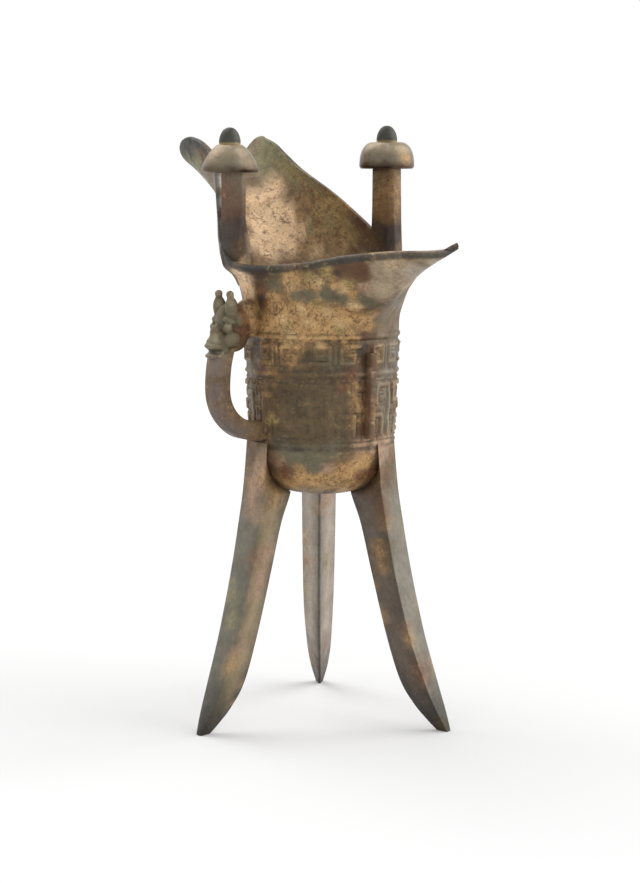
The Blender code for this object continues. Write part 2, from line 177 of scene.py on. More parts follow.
def makeStudio():
    deselectAll()
    half = studio["floorSize"] / 2
    bpy.ops.mesh.primitive_plane_add(size=studio["floorSize"], location=(0, 0, 0))
    floor = bpy.context.object
    floor.name = floor.data.name = "paleFloor"
    paper = bpy.data.materials.new("matt white paper")
    paper.use_nodes = True
    shader = paper.node_tree.nodes["Principled BSDF"]
    shader.inputs["Base Color"].default_value = linear(studio["floor"])
    shader.inputs["Roughness"].default_value = 0.9
    floor.data.materials.append(paper)
    world = bpy.data.worlds.new("white studio")
    bpy.context.scene.world = world
    world.use_nodes = True
    sky = world.node_tree.nodes["Background"]
    sky.inputs["Color"].default_value = linear(studio["sky"])
    sky.inputs["Strength"].default_value = studio["skyStrength"]
    bpy.context.scene.view_settings.view_transform = studio["display"]
    for name, place, width, strength in studio["lamps"]:
        bpy.ops.object.light_add(type="SUN", location=place)
        lamp = bpy.context.object
        lamp.name = name
        lamp.data.angle = math.radians(width)
        lamp.data.energy = strength
        lamp.rotation_euler = Vector(place).to_track_quat("Z", "Y").to_euler()


makeStudio()
print("camera, floor and lights placed")

# the cup's wall, spout and tail

wall = {
    "thickness": 2.1,
    "columns": 360,
    "bottomRings": 12,
    "lowRings": 12,
    "friezeRings": 82,
    "flareRings": 56,
    "innerRings": 44,
    "rimRings": 4,
    "rimRise": 0.6,  # how far the lip's middle stands above its edges
    "bottomHeight": 77.2,
    "friezeFoot": 95.0,  # where the rings for the frieze start
    "outline": ((9, 77.9), (16.5, 80.3), (21, 84.4), (23, 89.6), (24, 95.6), (24.8, 110), (25.7, 130)),
    "levels": (  # height, reach to tail, side and spout, pointedness, squareness
        (130, 25.7, 25.7, 25.7, 0.50, 2.0), (138, 30.0, 26.6, 26.8, 0.66, 2.0),
        (146, 45.2, 28.2, 28.9, 0.93, 2.0), (150, 52.3, 29.5, 30.8, 1.0, 2.1),
        (154, 60.0, 32.8, 35.0, 1.05, 3.0), (162, 80.0, 33.9, 41.4, 1.05, 3.4),
        (170, 100.0, 33.6, 48.6, 1.05, 3.6), (178, 120.0, 33.4, 58.6, 1.05, 3.8),
        (186, 140.0, 33.0, 75.6, 1.05, 3.7), (194, 160.0, 33.0, 98.0, 1.05, 3.6),
        (202, 180.0, 33.0, 121.0, 1.05, 3.6),
    ),
    "tailLip": (  # distance along the tail and height
        (76.6, 160.6), (72.0, 159.3), (66.0, 158.5), (54.0, 158.1), (40.0, 156.8), (22.0, 153.9),
        (6.0, 153.0), (-4.0, 154.9),
    ),
    # the lip along the spout, its corner's middle and radii, and how the spout narrows
    "farSide": (
        ((-12.0, 161.5), (-20.0, 168.7), (-32.0, 178.2), (-45.0, 186.6), (-52.0, 191.3), (-58.0, 194.9),
         (-65.2, 197.2)), (-65.2, 190.0), (7.4, 7.4), (-3.0, -58.0, 0.57),
    ),
    "nearSide": (
        ((-12.0, 162.6), (-20.0, 173.0), (-28.0, 181.5), (-38.0, 188.4), (-46.0, 192.4), (-53.0, 195.2),
         (-60.0, 196.6)), (-60.0, 189.0), (12.6, 7.6), (-3.0, -50.0, 0.57),
    ),
    "lipSteps": (12, 24, 0.1),  # between two rows, round the corner, down the mouth
    "keelColumns": 12,  # how far round from the tail's keel it is rounded off
    "keelPasses": 30,
    "keelEnds": ((0.0, 0.15), (1.0, 0.8)),  # shares of the flare where that comes and goes
    "unevenness": 0.12,  # of the hand-worked surface, millimetres
    "wander": 0.09,  # turns of it per millimetre
}


def level(height):
    # the level outline's reaches and shape, on a smooth curve through the rows
    rows = np.array(wall["levels"])
    low = max(i for i in range(len(rows) - 1) if i == 0 or rows[i][0] <= height)
    step = rows[low + 1][0] - rows[low][0]
    t = (height - rows[low][0]) / step
    slopes = []
    for row in (low, low + 1):
        before, after = rows[max(row - 1, 0)], rows[min(row + 1, len(rows) - 1)]
        slopes.append((after - before) / (after[0] - before[0]) * step)
    bend = slopes[0] * t * (1 - t) ** 2 - slopes[1] * t * t * (1 - t)
    return (rows[low] + (rows[low + 1] - rows[low]) * t * t * (3 - 2 * t) + bend)[1:]


def sheetPoint(share, height, narrowing):
    # outside of the wall: share is 1 at the tail, 0 at the side and -1 at the spout
    tail, side, spout, pointed, square = level(height)
    if share >= 0:
        return np.array([tail * share, side * max(1 - share ** (2.5 - pointed), 0) ** pointed, height])
    x = spout * share
    start, end, left = narrowing
    reach = min(max((x - start) / (end - start), 0), 1)
    narrow = 1 - (1 - left) * reach * reach * (3 - 2 * reach)
    return np.array([x, side * narrow * math.sqrt(max(1 - (-share) ** square, 0)), height])


def lipLine(half):
    # (share, height) along the lip from the tail's tip to the floor of the spout's mouth
    spoutLip, (middle, height), (long, tall), narrowing = wall[half]
    lip = wall["tailLip"] + spoutLip
    steps, corner, down = wall["lipSteps"]
    profile = [tuple(between(lip, place / steps)) for place in range(steps * (len(lip) - 1))]
    for step in range(corner + 1):
        turn = math.pi / 2 * step / corner
        profile.append((middle - long * math.sin(turn), height + tall * math.cos(turn)))
    front = middle - long
    while level(height)[2] > -front:
        profile.append((front, height))
        height -= down
    rows = []
    for x, z in profile:
        reach = level(z)[0] if x >= 0 else level(z)[2]
        rows.append((max(min(x / reach, 1), -1), z))
    return [(1.0, rows[0][1])] + rows[1:] + [(-1.0, height)]


def wallColumns(side):
    # half of the wall's outside, by columns from the tail and rows from the bottom
    lip = lipLine(side)
    narrowing = wall[side][3]
    points = [sheetPoint(*row, narrowing) for row in lip]
    run = np.concatenate([[0], np.cumsum([np.linalg.norm(b - a) for a, b in zip(points, points[1:])])])
    half = wall["columns"] // 2
    outline = [(0.0, wall["bottomHeight"])] + [tuple(map(float, row)) for row in wall["outline"]]
    bottom = sampled(outline[:4], wall["bottomRings"] + 1)[:-1]
    cup = sampled(outline[3:], 60)
    heights = np.array([row[1] for row in cup])
    radii = np.array([row[0] for row in cup])
    rows = [tuple(row) for row in bottom]
    throat = outline[-1][1]
    low = np.linspace(outline[3][1], wall["friezeFoot"], wall["lowRings"], endpoint=False)
    high = np.linspace(wall["friezeFoot"], throat, wall["friezeRings"])
    rows += [(np.interp(height, heights, radii), height) for height in np.concatenate([low, high])]
    columns = []
    for column in range(half + 1):
        part = column / half
        place = run[-1] * part
        share = np.interp(place, run, [row[0] for row in lip])
        top = np.interp(place, run, [row[1] for row in lip])
        start = math.cos(math.pi * part)
        points = [np.array([start * r, math.sin(math.pi * part) * r, h]) for r, h in rows]
        for ring in range(1, wall["flareRings"] + 1):
            t = ring / wall["flareRings"]
            points.append(sheetPoint(start + (share - start) * t, throat + (top - throat) * t, narrowing))
        if column in (0, half):
            points = [point * (1, 0, 1) for point in points]
        columns.append(points)
    return np.array(columns)


def outwards(grid):
    # unit normals of a (row, column, 3) grid that closes round its columns
    across = np.roll(grid, -1, axis=1) - np.roll(grid, 1, axis=1)
    up = np.gradient(grid, axis=0)
    normal = np.cross(across, up)
    length = np.linalg.norm(normal, axis=2, keepdims=True)
    normal = normal / np.maximum(length, 1e-9)
    normal[0] = (0, 0, -1)
    return normal


nearHalf = wallColumns("nearSide")[1:-1][::-1] * (1, -1, 1)
outside = np.concatenate([wallColumns("farSide"), nearHalf]).transpose(1, 0, 2)
# the keel under the tail is rounded off
fromTail = np.minimum(np.arange(wall["columns"]), wall["columns"] - np.arange(wall["columns"]))
upFlare = np.linspace(0, 1, wall["flareRings"])
softened = np.exp(-(fromTail / wall["keelColumns"]) ** 2)[None, :, None]
keeled = smooth(*wall["keelEnds"][0], upFlare) * smooth(*wall["keelEnds"][1], upFlare)
softened = softened * keeled[:, None, None]
flare = outside[-wall["flareRings"]:]
for step in range(wall["keelPasses"]):
    flare += softened * ((np.roll(flare, 1, axis=1) + np.roll(flare, -1, axis=1)) / 2 - flare)
normals = outwards(outside)
print("wall laid out:", outside.shape)

# the cast frieze

frieze = {
    "radius": 24.8,  # where the run round the cup is measured
    "reach": (93.5, 133.0),  # heights that carry relief
    "register": (97.0, 117.6),
    "band": (120.4, 130.4),
    "proud": 0.75,
    "groundProud": 0.42,
    "groundCell": (3.25, 3.43),
    "groundWidth": 0.8,
    "groundSpiral": ((-1.25, -1.3), (1.25, -1.3), (1.25, 1.3), (-0.9, 1.3), (-0.9, -0.2), (0.3, -0.2)),
    "hooks": 4,  # in each quarter of the band
    "hookSize": (6.2, 5.4),
    "hookLine": ((-1, -1), (1, -1), (1, 1), (-0.45, 1), (-0.45, 0), (0.3, 0)),  # in halves of that size
    "innerLine": ((-1.4, -0.45), (1.5, -0.45), (1.5, 0.55)),  # its height in the same halves
    "hookWidths": (1.1, 0.6, 0.7),  # and of the fine lines in it and beside it
    "borders": ((95.8, 0.5), (119.0, 0.55), (131.2, 0.45)),  # height, how proud
    "groove": (1.35, 0.3),  # below each border, and deep
    "patchy": 0.7,  # how unevenly the lines have kept their height
    "patchTurns": 0.22,  # of that, per millimetre
    "kept": (0.35, 0.9, 1.15),  # least, middle and most of the height that is kept
    "rubbed": ((272, 285), (356, 346)),  # degrees where the panel by the handle is rubbed
    "rubbedHeights": (117.5, 120.5),
    "rubbedShares": (0.68, 0.25),  # of the height, below and above those
    "strokes": (  # run and height from the mask's middle, then width
        (((3.2, -7.4), (3.2, 4.8), (6.6, 4.8)), 1.6),
        (((8.0, 7.8), (23.6, 7.8), (23.6, 2.4), (17.6, 2.4)), 1.8),
        (((8.0, -3.6), (8.0, -8.0), (21.6, -8.0), (21.6, -3.4), (16.8, -3.4)), 1.7),
        (((26.8, -8.2), (26.8, 8.0), (33.4, 8.0), (33.4, 2.0)), 1.6),
        (((30.4, -8.2), (30.4, -2.0), (35.8, -2.0), (35.8, -8.2)), 1.5),
        (((10.6, 0.4), (14.6, 0.4)), 3.6),
    ),
}


def lineDistance(x, y, points):
    # distance from each (x, y) to a broken line
    best = np.full(x.shape, 1e9)
    for (ax, ay), (bx, by) in zip(points, points[1:]):
        dx, dy = bx - ax, by - ay
        t = np.clip(((x - ax) * dx + (y - ay) * dy) / (dx * dx + dy * dy), 0, 1)
        best = np.minimum(best, np.hypot(x - ax - dx * t, y - ay - dy * t))
    return best


def within(low, high, height):
    # 1 between two heights and 0 beyond them, with soft ends
    return smooth(low - 0.2, low + 0.3, height) * smooth(high + 0.2, high - 0.3, height)


def registerHeight(fromMask, height):
    # the mask's strokes, and the spirals of the ground between them
    low, high = frieze["register"]
    raised = np.zeros(fromMask.shape)
    clear = np.full(fromMask.shape, 9.0)
    for points, width in frieze["strokes"]:
        away = lineDistance(fromMask, height - (low + high) / 2, points) - width / 2
        raised = np.maximum(raised, frieze["proud"] * smooth(0.3, -0.3, away))
        clear = np.minimum(clear, away)
    wide, tall = frieze["groundCell"]
    across, row = fromMask / wide, (height - low) / tall
    cellX, cellY = np.floor(across), np.floor(row)
    turn = np.where((cellX + cellY) % 2 > 0, -1, 1)
    x = (across - cellX - 0.5) * turn * wide
    y = (row - cellY - 0.5) * turn * tall
    spiral = lineDistance(x, y, frieze["groundSpiral"]) - frieze["groundWidth"] / 2
    ground = frieze["groundProud"] * smooth(0.22, -0.22, spiral)
    return np.maximum(raised, ground * within(low, high, height) * smooth(0.35, 0.9, clear))


def bandHeight(run, step, height):
    # a row of hooks, turned over one by one, each with a fine line inside and one beside it
    low, high = frieze["band"]
    number = np.floor(run / step)
    turn = np.where(number % 2 > 0, -1, 1)
    x = (run - (number + 0.5) * step) * turn
    y = (height - (low + high) / 2) * turn
    halfX, halfY = (size / 2 for size in frieze["hookSize"])
    lines = (
        [(a * halfX, b * halfY) for a, b in frieze["hookLine"]],
        [(a, b * halfY) for a, b in frieze["innerLine"]],
        [(halfX + 1.6, -halfY), (halfX + 1.6, halfY)],
    )
    hook, inner, side = (lineDistance(x, y, line) - w / 2 for line, w in zip(lines, frieze["hookWidths"]))
    raised = frieze["proud"] * 0.9 * smooth(0.3, -0.3, hook)
    inBand = within(low, high, height)
    inner = frieze["groundProud"] * smooth(0.25, -0.2, inner) * inBand * smooth(0.3, 0.7, hook)
    side = frieze["groundProud"] * smooth(0.25, -0.2, side) * inBand
    return np.maximum(raised, np.maximum(inner, side))


def reliefHeight(run, height):
    # how far the casting stands off the plain wall, run and height in millimetres
    quarter = math.pi / 2 * frieze["radius"]
    fromMask = np.minimum(np.abs(run - quarter), np.abs(run - 3 * quarter))
    raised = np.maximum(registerHeight(fromMask, height), bandHeight(run, quarter / frieze["hooks"], height))
    below, deep = frieze["groove"]
    for middle, proud in frieze["borders"]:
        raised = np.maximum(raised, proud * smooth(1.0, 0.2, np.abs(height - middle)))
        raised = raised - deep * smooth(0.75, 0.2, np.abs(height - middle + below))
    return raised


def wear(degrees, height):
    # share of the casting's crispness left: the panel by the handle towards the tail is rubbed smooth
    start, end = frieze["rubbed"]
    low, high = frieze["rubbedHeights"]
    below, above = frieze["rubbedShares"]
    panel = smooth(*start, degrees) * smooth(*end, degrees)
    return 1 - below * (panel * smooth(high, low, height)) - above * (panel * smooth(low, high, height))


angles = np.degrees(np.arctan2(outside[:, :, 1], outside[:, :, 0])) % 360
heights = outside[:, :, 2]
low, high = frieze["reach"]
onFrieze = (heights > low) & (heights < high)
relief = np.zeros(heights.shape)
relief[onFrieze] = reliefHeight(np.radians(angles[onFrieze]) * frieze["radius"], heights[onFrieze])
relief *= wear(angles, heights)
patchy = np.array([noise.noise(Vector(point) * frieze["patchTurns"]) for point in outside[onFrieze]])
least, middle, most = frieze["kept"]
relief[onFrieze] *= np.clip(middle + frieze["patchy"] * patchy, least, most)
handworked = np.array([noise.noise(Vector(point) * wall["wander"]) for point in outside.reshape(-1, 3)])
handworked = handworked.reshape(heights.shape) * wall["unevenness"]
face = outside + normals * (relief + handworked)[:, :, None]
inside = outside - normals * (wall["thickness"] - handworked[:, :, None])
innerRows = np.unique(np.linspace(0, len(inside) - 1, wall["innerRings"]).round().astype(int))
rim = []
acrossWall = (face[-1] - inside[-1]) / 2
upLip = outside[-1] - outside[-2]
upLip = upLip / np.linalg.norm(upLip, axis=1, keepdims=True)
for ring in range(1, wall["rimRings"] + 1):
    turn = math.pi * ring / (wall["rimRings"] + 1)
    above = upLip * wall["rimRise"] * math.sin(turn)
    rim.append((face[-1] + inside[-1]) / 2 + acrossWall * math.cos(turn) + above)
wallRings = np.concatenate([face, rim, inside[innerRows][::-1]])
cup = wrapGrid("jueCup", wallRings)
print("cup and frieze made:", len(cup.data.polygons), "faces")


def cupRadius(height):
    outline = wall["outline"]
    return float(np.interp(height, [row[1] for row in outline], [row[0] for row in outline]))


def roundedSection(corners, cut):
    # each corner of a section taken off by two small facets, never past 0.4 of a side
    corners = [np.array(corner, float) for corner in corners]
    points = []
    for i, here in enumerate(corners):
        before = corners[i - 1] - here
        after = corners[(i + 1) % len(corners)] - here
        start = here + before / np.linalg.norm(before) * min(cut, np.linalg.norm(before) * 0.4)
        end = here + after / np.linalg.norm(after) * min(cut, np.linalg.norm(after) * 0.4)
        points += [start, (start + end) / 4 + here / 2, end]
    return points


def closedEnds(rings):
    # each end is drawn in to a point, by way of a smaller ring
    smaller = 0.6
    rings = [np.array(ring, float) for ring in rings]
    first, last = rings[0].mean(axis=0), rings[-1].mean(axis=0)
    lead = [rings[0] * 0 + first, first + (rings[0] - first) * smaller]
    tail = [last + (rings[-1] - last) * smaller, rings[-1] * 0 + last]
    return np.array(lead + rings + tail)


# the three blade legs

legs = {
    # angle round the cup, shift outwards of the foot and of the rest, share of the width, sideways drift
    "standing": ((-90.0, 0.5, 0.4, 1.0, 0.0), (31.7, -0.8, -1.4, 1.0, 0.0), (148.7, 1.2, -0.8, 0.9, 0.6)),
    "stations": (  # height, radius of the outer face, depth in to the ridge, width
        (0.0, 47.8, 4.4, 3.2), (3.0, 46.7, 6.7, 5.0), (8.0, 44.7, 9.5, 7.6), (16.0, 41.7, 11.6, 10.0),
        (32.0, 36.6, 11.6, 12.2), (52.0, 31.7, 11.9, 13.2), (68.0, 28.6, 12.8, 13.6),
        (80.0, 26.6, 15.0, 13.8), (96.0, 25.0, 15.6, 13.8),
    ),
    "rings": 72,
    "shiftHeight": 30.0,
    "cupHeight": 78,  # above this the ridge ends in the cup's wall
    "sunk": 1.0,
    # how far the outer face bulges and the inner ones lie in, half-width's share there, half the ridge
    "section": (0.15, 0.25, 0.53, 0.35),
    "edge": 0.55,
}


def makeLeg(number, angle, footShift, shift, share, sideways):
    out, side = directions(angle)
    crown, hollow, shoulder, edge = legs["section"]
    rings = []
    for height, radius, depth, width in sampled(legs["stations"], legs["rings"]):
        moved = footShift + (shift - footShift) * min(height / legs["shiftHeight"], 1)
        ridge = radius + moved - depth
        if height > legs["cupHeight"]:
            ridge = max(ridge, cupRadius(height) - legs["sunk"])
        radius += moved
        half = width * share / 2
        middle = (radius + ridge) / 2 - hollow
        section = (
            (radius, -half), (radius + crown, 0), (radius, half), (middle, half * shoulder), (ridge, edge),
            (ridge, -edge), (middle, -half * shoulder),
        )
        ring = roundedSection(section, legs["edge"])
        drift = sideways * min(height / legs["shiftHeight"], 1)
        rings.append([out * a + side * (b + drift) + np.array([0, 0, height]) for a, b in ring])
    return wrapGrid(f"jueLeg{number}", closedEnds(rings))


legPieces = [makeLeg(number, *row) for number, row in enumerate(legs["standing"])]
print("legs made")

# posts and caps

posts = {
    "turn": 14.0,
    # up each shaft: height, where it starts and ends along the lip, then how far inwards of the cap's middle
    # its outer face, its inner face and its ridge are, and the corner taken off
    "nearShaft": (
        (147.0, -1.6, 2.6, 4.8, 5.6, 5.9, 0.3), (150.5, -2.0, 3.6, 2.7, 4.6, 7.6, 1.2),
        (153.6, -2.4, 4.4, -1.2, 3.6, 9.0, 2.6), (158.0, -2.6, 5.2, -1.9, 3.5, 8.0, 3.0),
        (164.0, -2.8, 5.7, -1.7, 3.4, 6.2, 3.4), (170.0, -3.4, 6.0, -1.0, 3.3, 4.6, 3.6),
        (187.0, -3.4, 6.6, -0.9, 3.2, 3.2, 4.0),
    ),
    "farShaft": (
        (147.0, -2.8, 2.8, 3.2, 3.9, 4.0, 0.3), (153.8, -5.9, 5.9, -1.6, 4.0, 4.0, 3.0),
        (158.0, -5.4, 5.4, -2.3, 3.1, 3.1, 2.4), (168.0, -4.7, 4.7, -2.6, 2.6, 2.6, 1.8),
        (187.0, -4.5, 4.5, -2.5, 2.5, 2.5, 1.4),
    ),
    "standing": (  # side, place, height of the knob's top, roundness of the dome, and the shaft
        (-1, (-8.0, -30.5), 198.7, 1.35, "nearShaft"), (1, (-7.8, 31.2), 200.3, 2.5, "farShaft"),
    ),
    "rings": 40,
    "edge": 0.45,
    "chamfer": 0.7,
    "capRadius": 9.4,
    "capHeight": 9.2,
    "capEdge": 0.8,
    "capUnder": ((0, 0.6), (4.0, 0.6), (7.8, 0.5), (8.3, 0)),  # radius, height over the cap's foot
    "capBevel": (0.45, 0.08),
    "domeSteps": 26,
    "knobRadius": 3.6,
    "knobHeight": 5.4,
    "knobFoot": (0.25, 0.1),  # how far out the dome ends, and how deep the groove there is
    "knobSteps": 12,
    "knobPower": 0.9,  # under 1 for a fuller knob
    "segments": 56,
}


def makePost(side, place, top, roundness, shaft):
    along, outward = directions(posts["turn"])
    inward = -outward * side
    rings = []
    for height, start, end, outer, inner, ridge, corner in sampled(posts[shaft], posts["rings"]):
        bevelled = max(inner - corner * posts["chamfer"], (outer + inner) / 2)
        section = ((end, outer), (end, bevelled), (end - corner, ridge), (start, inner), (start, outer))
        middle = np.array([place[0], place[1], height])
        ring = roundedSection(section, posts["edge"])
        rings.append([middle + along * a + inward * b for a, b in ring])
    return wrapGrid(f"juePost{(side + 1) // 2}", closedEnds(rings))


def makeCap(side, place, top, roundness):
    radius, rise, knob = posts["capRadius"], posts["capHeight"], posts["knobRadius"]
    foot = top - posts["knobHeight"] - rise
    (bevelIn, bevelUp), (ended, groove) = posts["capBevel"], posts["knobFoot"]
    outline = [(wide, foot + up) for wide, up in posts["capUnder"]] + [(radius - bevelIn, foot + bevelUp)]
    for step in range(posts["domeSteps"]):
        t = step / posts["domeSteps"]
        wide = knob + (radius - knob) * (1 - t ** roundness) ** (1 / roundness)
        if wide > knob + ended:
            outline.append((wide, foot + posts["capEdge"] + (rise - posts["capEdge"]) * t))
    neck = top - posts["knobHeight"]
    outline.append((knob - groove, neck - groove))
    for step in range(1, posts["knobSteps"] + 1):
        lift = math.pi / 2 * step / posts["knobSteps"]
        wide = knob * math.cos(lift) ** posts["knobPower"]
        outline.append((wide, neck + posts["knobHeight"] * math.sin(lift)))
    turns = np.linspace(0, math.tau, posts["segments"], endpoint=False)
    rings = []
    for wide, height in outline:
        flat = np.stack([np.cos(turns) * wide, np.sin(turns) * wide, turns * 0 + height], axis=1)
        rings.append(flat + (place[0], place[1], 0))
    return wrapGrid(f"jueCap{(side + 1) // 2}", rings)


postPieces = [makePost(*row) for row in posts["standing"]]
postPieces += [makeCap(*row[:4]) for row in posts["standing"]]
print("posts and caps made")

# the handle

handle = {
    "path": (  # along Y and height, from inside the head to the cup
        (-38.2, 128.0), (-39.7, 121.0), (-40.0, 112.2), (-37.8, 106.0), (-33.3, 101.6), (-28.0, 100.0),
        (-23.8, 99.7),
    ),
    "width": 6.6,
    "thickness": 6.4,
    "corner": 0.9,
    "rings": 64,
    "voxel": 0.42,
    "softening": (0.5, 3),  # of the head's skin: strength and passes
    "ballFaces": (32, 20),  # round and up each ball of the head
    "masses": (  # place, half-sizes, lean about X in degrees
        ((0, -34.2, 135.6), (5.0, 5.8, 6.8), 32), ((0, -28.8, 136.8), (4.2, 5.2, 6.6), 0),
        ((0, -39.0, 128.8), (4.3, 4.2, 5.0), 0), ((0, -41.6, 128.1), (4.4, 2.5, 1.15), -8),
        ((0, -41.4, 125.2), (4.2, 2.5, 1.15), 6), ((0, -39.8, 132.0), (2.2, 2.8, 3.4), 24),
        ((0, -40.4, 131.2), (2.6, 1.8, 1.7), 0), ((0, -37.6, 138.0), (1.1, 1.6, 3.2), 20),
        ((0, -34.4, 130.6), (3.8, 5.2, 4.6), 0),
    ),
    "pairs": (  # the same on both sides: eyes, brows, horns, horn knobs, ears, nostrils
        ((4.4, -38.6, 134.2), (1.5, 1.7, 1.6), 0), ((3.6, -37.6, 136.4), (2.4, 2.4, 1.1), -20),
        ((3.9, -36.9, 140.3), (2.1, 2.3, 4.1), 6), ((3.7, -37.4, 145.0), (1.35, 1.35, 1.3), 0),
        ((5.2, -34.0, 137.0), (1.2, 2.4, 2.6), 30), ((2.2, -41.9, 129.7), (1.1, 1.0, 0.9), 0),
        ((4.6, -37.0, 130.6), (1.6, 3.0, 2.4), 20),
    ),
}


def makeStrap():
    rows = sampled(handle["path"], handle["rings"])
    rings = []
    for i, (y, z) in enumerate(rows):
        before, after = rows[max(i - 1, 0)], rows[min(i + 1, len(rows) - 1)]
        way = (after - before) / np.linalg.norm(after - before)
        across = np.array([0, way[1], -way[0]])
        half, deep = handle["width"] / 2, handle["thickness"] / 2
        section = ((half, deep), (-half, deep), (-half, -deep), (half, -deep))
        ring = roundedSection(section, handle["corner"])
        rings.append([np.array([a, y, z]) + across * b for a, b in ring])
    return wrapGrid("jueStrap", closedEnds(rings))


def addMass(place, size, lean):
    place = (np.array(place) + cupAxis) * mm
    around, up = handle["ballFaces"]
    bpy.ops.mesh.primitive_uv_sphere_add(segments=around, ring_count=up, radius=mm, location=place)
    bpy.ops.object.mode_set(mode="EDIT")
    bpy.ops.transform.resize(value=size, center_override=place)
    bpy.ops.object.mode_set(mode="OBJECT")
    mass = bpy.context.object
    mass.rotation_euler = (math.radians(lean), 0, 0)
    return mass


def makeHead():
    masses = [addMass(*row) for row in handle["masses"]]
    for (x, y, z), size, lean in handle["pairs"]:
        masses += [addMass((x * side, y, z), size, lean) for side in (-1, 1)]
    head = joined(masses, "jueHead")
    bpy.ops.object.transform_apply(location=True, rotation=True, scale=True)
    remesh = head.modifiers.new("one skin", "REMESH")
    remesh.mode = "VOXEL"
    remesh.voxel_size = handle["voxel"] * mm
    soften = head.modifiers.new("soft", "SMOOTH")
    soften.factor, soften.iterations = handle["softening"]
    applyModifiers(head)
    bpy.ops.object.shade_smooth()
    return head


handlePieces = [makeStrap(), makeHead()]
print("handle made:", len(handlePieces[1].data.polygons), "faces in the head")

# flanges

flanges = {
    "angles": (4.5, 90, 180),
    "width": 2.3,
    "footWidth": 0.3,  # more on each side where it meets the cup
    "proud": 3.0,
    "sunk": 0.8,
    "heights": (98.0, 126.0),
    "rings": 60,
    "notches": 5,
    "notchSize": (0.05, 0.5),  # share of a step and depth
    "edge": 0.4,
}


def makeFlange(number, angle):
    out, side = directions(angle)
    low, high = flanges["heights"]
    half, foot = flanges["width"] / 2, flanges["footWidth"]
    wide, deep = flanges["notchSize"]
    rings = []
    for height in np.linspace(low, high, flanges["rings"]):
        share = (height - low) / (high - low) * flanges["notches"]
        notched = 0 < round(share) < flanges["notches"]
        notch = math.exp(-((share - round(share)) / wide) ** 2) if notched else 0
        inner = cupRadius(height) - flanges["sunk"]
        outer = cupRadius(height) + flanges["proud"] - deep * notch
        section = ((inner, -half - foot), (outer, -half), (outer, half), (inner, half + foot))
        ring = roundedSection(section, flanges["edge"])
        rings.append([out * a + side * b + np.array([0, 0, height]) for a, b in ring])
    return wrapGrid(f"jueFlange{number}", closedEnds(rings))


flangePieces = [makeFlange(number, angle) for number, angle in enumerate(flanges["angles"])]

# one casting

creaseAngle = 50  # degrees; sharper edges stay crisp

jue = joined([cup] + legPieces + postPieces + handlePieces + flangePieces, "jueBronze")
bpy.ops.object.shade_smooth_by_angle(angle=math.radians(creaseAngle))
print("joined:", sum(len(face.vertices) - 2 for face in jue.data.polygons), "triangles")
